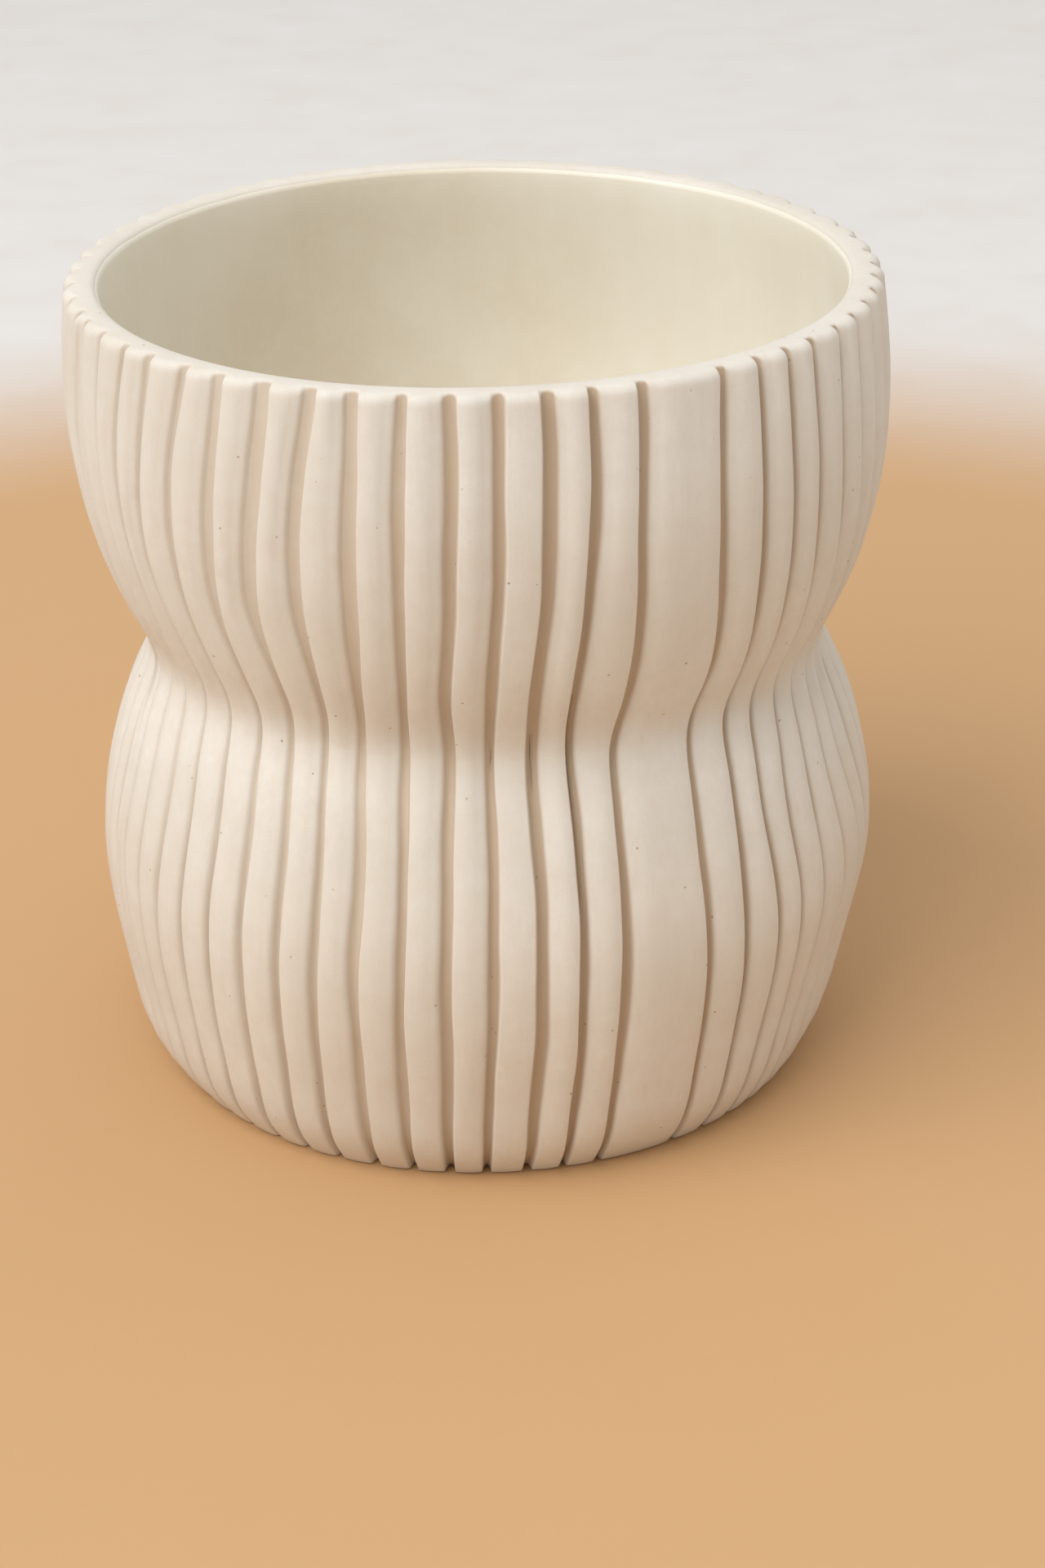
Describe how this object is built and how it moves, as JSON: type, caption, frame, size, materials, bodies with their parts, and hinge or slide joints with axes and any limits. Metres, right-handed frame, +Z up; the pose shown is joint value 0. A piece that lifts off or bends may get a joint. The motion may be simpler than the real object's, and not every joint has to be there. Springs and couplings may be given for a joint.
{
  "type": "vase",
  "caption": "Hourglass stoneware vase with a wide open mouth, upright carved grooves all round, one plain band and a glazed inside.",
  "frame": {"origin": "centre of the foot, on the plane that the vase stands on", "axes": "+Z up along the vase's axis, -Y towards the front, with the plain uncarved band 28.5 degrees from -Y towards +X"},
  "size_m": [0.1638, 0.1638, 0.166],
  "materials": {
    "stoneware": "unglazed, fine grained, dry satin",
    "interior_glaze": "semi-gloss liner glaze"
  },
  "bodies": {
    "root": {"lower_section": "stoneware", "upper_section": "stoneware", "floor_disc": "stoneware", "interior_glaze": "interior_glaze"}
  },
  "joints": []
}
